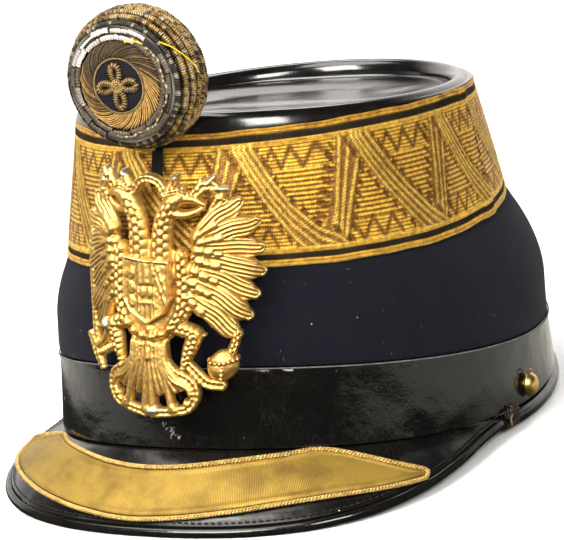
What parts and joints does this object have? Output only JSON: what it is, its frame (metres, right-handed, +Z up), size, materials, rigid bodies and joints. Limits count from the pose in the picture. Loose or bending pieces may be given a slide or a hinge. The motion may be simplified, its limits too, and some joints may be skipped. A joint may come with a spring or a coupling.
{
  "type": "shako hat",
  "caption": "Officer's shako: dark cloth body with leather band and peak, gold lace, pierced gilt eagle badge and a wound cockade at the top of the front.",
  "frame": {"origin": "middle of the hat's box on the surface that it stands on", "axes": "+Z up, -Y to the front with the peak and badge, +X to the wearer's left"},
  "size_m": [0.1844, 0.2322, 0.1756],
  "materials": {
    "cloth": "matte, very dark navy wool cloth",
    "leather": "polished black leather",
    "patent": "glossy black patent leather",
    "gold_lace": "woven gold lace",
    "gold_cord": "twisted gold cord",
    "gilt": "gilt brass, worn on its high points",
    "bullion": "tarnished gold wire",
    "spangle": "flat silvered spangles",
    "velvet": "black velvet"
  },
  "bodies": {
    "root": {"base_band": "leather", "cockade_cord_1": "bullion", "cockade_cord_2": "bullion", "cockade_cord_3": "bullion", "cockade_cord_4": "bullion", "cockade_cord_5": "bullion", "cockade_cord_6": "bullion", "cockade_core": "bullion", "cockade_disc": "velvet", "cockade_spangles": "spangle", "cockade_stem": "bullion", "cockade_tab": "leather", "cockade_wreath": "bullion", "crown_lace": "gold_lace", "crown_shell": "cloth", "crown_top": "patent", "eagle_badge": "gilt", "edge_roll": "leather", "peak": "leather", "peak_binding": "leather", "peak_lace": "gold_lace", "peak_lace_cord": "gold_cord", "side_button_left": "gilt", "side_button_right": "gilt"}
  },
  "joints": []
}
